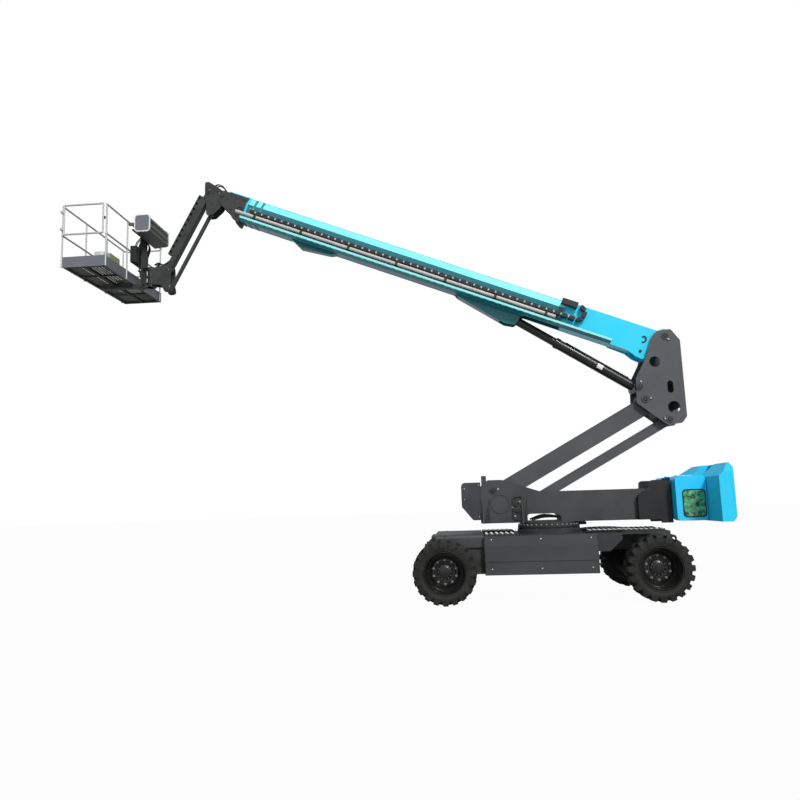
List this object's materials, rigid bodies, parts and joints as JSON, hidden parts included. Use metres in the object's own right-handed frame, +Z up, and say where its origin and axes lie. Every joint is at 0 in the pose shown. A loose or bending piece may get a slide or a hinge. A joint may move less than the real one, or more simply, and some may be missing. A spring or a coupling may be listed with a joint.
{
  "type": "telescopic boom lift",
  "caption": "Articulated boom lift: parallelogram riser, three-stage telescopic boom, jib and turning work platform on four solid tyres.",
  "frame": {"origin": "on the ground under the middle of the whole machine's bounding box", "axes": "+Z up, +X from the work platform towards the counterweight, +Y across the machine, away from the side with the drag chain and the platform's gate"},
  "size_m": [11.426, 2.507, 7.8898],
  "materials": {
    "boom_paint": "gloss",
    "dark_paint": "satin",
    "turret_paint": "satin",
    "weight_paint": "satin",
    "tyre_rubber": "matte",
    "rim_paint": "satin",
    "hood_plastic": "gloss",
    "black_plastic": "matte",
    "cylinder_paint": "gloss",
    "rail_steel": "satin",
    "grey_plastic": "matte",
    "battery_case": "matte"
  },
  "bodies": {
    "chassis": {"chassis_frame": "turret_paint", "side_covers": "turret_paint", "battery_packs": "battery_case", "deck_treads": "turret_paint", "tie_downs": "turret_paint", "front_axle": "turret_paint", "rear_axle": "turret_paint", "slew_ring_fixed": "turret_paint"},
    "wheel_front_near": {"tyre_front_near": "tyre_rubber", "rim_front_near": "rim_paint"},
    "wheel_front_far": {"tyre_front_far": "tyre_rubber", "rim_front_far": "rim_paint"},
    "wheel_rear_near": {"tyre_rear_near": "tyre_rubber", "rim_rear_near": "rim_paint"},
    "wheel_rear_far": {"tyre_rear_far": "tyre_rubber", "rim_rear_far": "rim_paint"},
    "steering_near": {"knuckle_near": "turret_paint"},
    "steering_far": {"knuckle_far": "turret_paint"},
    "turret": {"slew_ring_turning": "turret_paint", "turret_frame": "turret_paint", "nose_cover": "dark_paint", "housings": "black_plastic", "counterweight": "weight_paint"},
    "hood_near_body": {"hood_near": "hood_plastic"},
    "hood_far_body": {"hood_far": "hood_plastic"},
    "riser_arm_body": {"riser_arm": "dark_paint"},
    "riser_link_body": {"riser_link": "dark_paint"},
    "upright_body": {"upright": "dark_paint"},
    "boom": {"boom_outer": "boom_paint", "chain_tray": "boom_paint", "drag_chain": "black_plastic"},
    "cylinder_barrel": {"lift_barrel": "cylinder_paint"},
    "cylinder_rod": {"lift_rod": "cylinder_paint"},
    "boom_mid_body": {"boom_mid": "boom_paint"},
    "boom_fly_body": {"boom_fly": "boom_paint", "boom_head": "dark_paint"},
    "nose": {"nose_bracket": "dark_paint"},
    "jib": {"jib_arm": "dark_paint", "jib_guard": "dark_paint"},
    "jib_link_body": {"jib_link": "dark_paint"},
    "jib_tip": {"jib_head": "dark_paint"},
    "platform": {"platform_floor": "dark_paint", "platform_rails": "rail_steel", "platform_console": "grey_plastic"},
    "gate": {"platform_gate": "rail_steel"}
  },
  "joints": [
    {"name": "steer_near", "type": "hinge", "parent": "chassis", "child": "steering_near", "pos_m": [4.24, -0.76, 0.515], "axis": [0, 0, 1], "range_deg": [-38, 38]},
    {"name": "steer_far", "type": "hinge", "parent": "chassis", "child": "steering_far", "pos_m": [4.24, 0.76, 0.515], "axis": [0, 0, 1], "range_deg": [-38, 38]},
    {"name": "wheel_front_near_roll", "type": "hinge", "parent": "chassis", "child": "wheel_front_near", "pos_m": [0.88, -1.0675, 0.515], "axis": [0, 1, 0], "continuous": true},
    {"name": "wheel_front_far_roll", "type": "hinge", "parent": "chassis", "child": "wheel_front_far", "pos_m": [0.88, 1.0675, 0.515], "axis": [0, 1, 0], "continuous": true},
    {"name": "wheel_rear_near_roll", "type": "hinge", "parent": "steering_near", "child": "wheel_rear_near", "pos_m": [4.24, -1.0675, 0.515], "axis": [0, 1, 0], "continuous": true},
    {"name": "wheel_rear_far_roll", "type": "hinge", "parent": "steering_far", "child": "wheel_rear_far", "pos_m": [4.24, 1.0675, 0.515], "axis": [0, 1, 0], "continuous": true},
    {"name": "slew", "type": "hinge", "parent": "chassis", "child": "turret", "pos_m": [2.69, 0, 1.15], "axis": [0, 0, 1], "continuous": true},
    {"name": "hood_near_lift", "type": "hinge", "parent": "turret", "child": "hood_near_body", "pos_m": [4.965, -0.304, 1.956], "axis": [-1, 0, 0], "range_deg": [0, 80]},
    {"name": "hood_far_lift", "type": "hinge", "parent": "turret", "child": "hood_far_body", "pos_m": [4.965, 0.304, 1.956], "axis": [1, 0, 0], "range_deg": [0, 80]},
    {"name": "riser_lift", "type": "hinge", "parent": "turret", "child": "riser_arm_body", "pos_m": [1.744, 0, 1.815], "axis": [0, -1, 0], "range_deg": [-28.9, 40]},
    {"name": "riser_link_turn", "type": "hinge", "parent": "turret", "child": "riser_link_body", "pos_m": [2.13, 0, 1.449], "axis": [0, -1, 0], "range_deg": [-28.9, 40]},
    {"name": "upright_level", "type": "hinge", "parent": "riser_arm_body", "child": "upright_body", "pos_m": [4.44918, 0, 3.30834], "axis": [0, -1, 0], "range_deg": [-40, 28.9]},
    {"name": "boom_luff", "type": "hinge", "parent": "upright_body", "child": "boom", "pos_m": [4.86519, 0, 4.41334], "axis": [0, 1, 0], "range_deg": [-27, 53]},
    {"name": "barrel_turn", "type": "hinge", "parent": "upright_body", "child": "cylinder_barrel", "pos_m": [4.37019, 0, 3.52834], "axis": [0, 1, 0], "range_deg": [-24, 46.6]},
    {"name": "rod_slide", "type": "slide", "parent": "cylinder_barrel", "child": "cylinder_rod", "axis": [-0.837, 0, 0.5472], "range_m": [-0.434, 0.843]},
    {"name": "boom_extend", "type": "slide", "parent": "boom", "child": "boom_mid_body", "axis": [-0.9272, 0, 0.3746], "range_m": [0, 4.2]},
    {"name": "fly_extend", "type": "slide", "parent": "boom_mid_body", "child": "boom_fly_body", "axis": [-0.9272, 0, 0.3746], "range_m": [0, 4.2]},
    {"name": "nose_level", "type": "hinge", "parent": "boom_fly_body", "child": "nose", "pos_m": [-3.15514, 0, 7.59984], "axis": [0, 1, 0], "range_deg": [-53, 27]},
    {"name": "jib_luff", "type": "hinge", "parent": "nose", "child": "jib", "pos_m": [-3.44414, 0, 7.69484], "axis": [0, 1, 0], "range_deg": [-4, 130]},
    {"name": "jib_link_turn", "type": "hinge", "parent": "nose", "child": "jib_link_body", "pos_m": [-3.41014, 0, 7.27084], "axis": [0, 1, 0], "range_deg": [-4, 130]},
    {"name": "jib_head_level", "type": "hinge", "parent": "jib", "child": "jib_tip", "pos_m": [-4.22699, 0, 6.2163], "axis": [0, 1, 0], "range_deg": [-130, 4]},
    {"name": "platform_turn", "type": "hinge", "parent": "jib_tip", "child": "platform", "pos_m": [-4.56699, 0, 6.2163], "axis": [0, 0, 1], "range_deg": [-90, 90]},
    {"name": "gate_swing", "type": "hinge", "parent": "platform", "child": "gate", "pos_m": [-5.69699, -1.2, 6.5243], "axis": [0, 0, 1], "range_deg": [0, 90]}
  ],
  "couplings": [
    {"joint": "steer_far", "follows": "steer_near", "ratio": 1},
    {"joint": "riser_link_turn", "follows": "riser_lift", "ratio": 1},
    {"joint": "upright_level", "follows": "riser_lift", "ratio": -1},
    {"joint": "barrel_turn", "follows": "boom_luff", "ratio": 0.87},
    {"joint": "rod_slide", "follows": "boom_luff", "m_per_rad": 0.9},
    {"joint": "fly_extend", "follows": "boom_extend", "ratio": 1},
    {"joint": "nose_level", "follows": "boom_luff", "ratio": -1},
    {"joint": "jib_link_turn", "follows": "jib_luff", "ratio": 1},
    {"joint": "jib_head_level", "follows": "jib_luff", "ratio": -1}
  ]
}
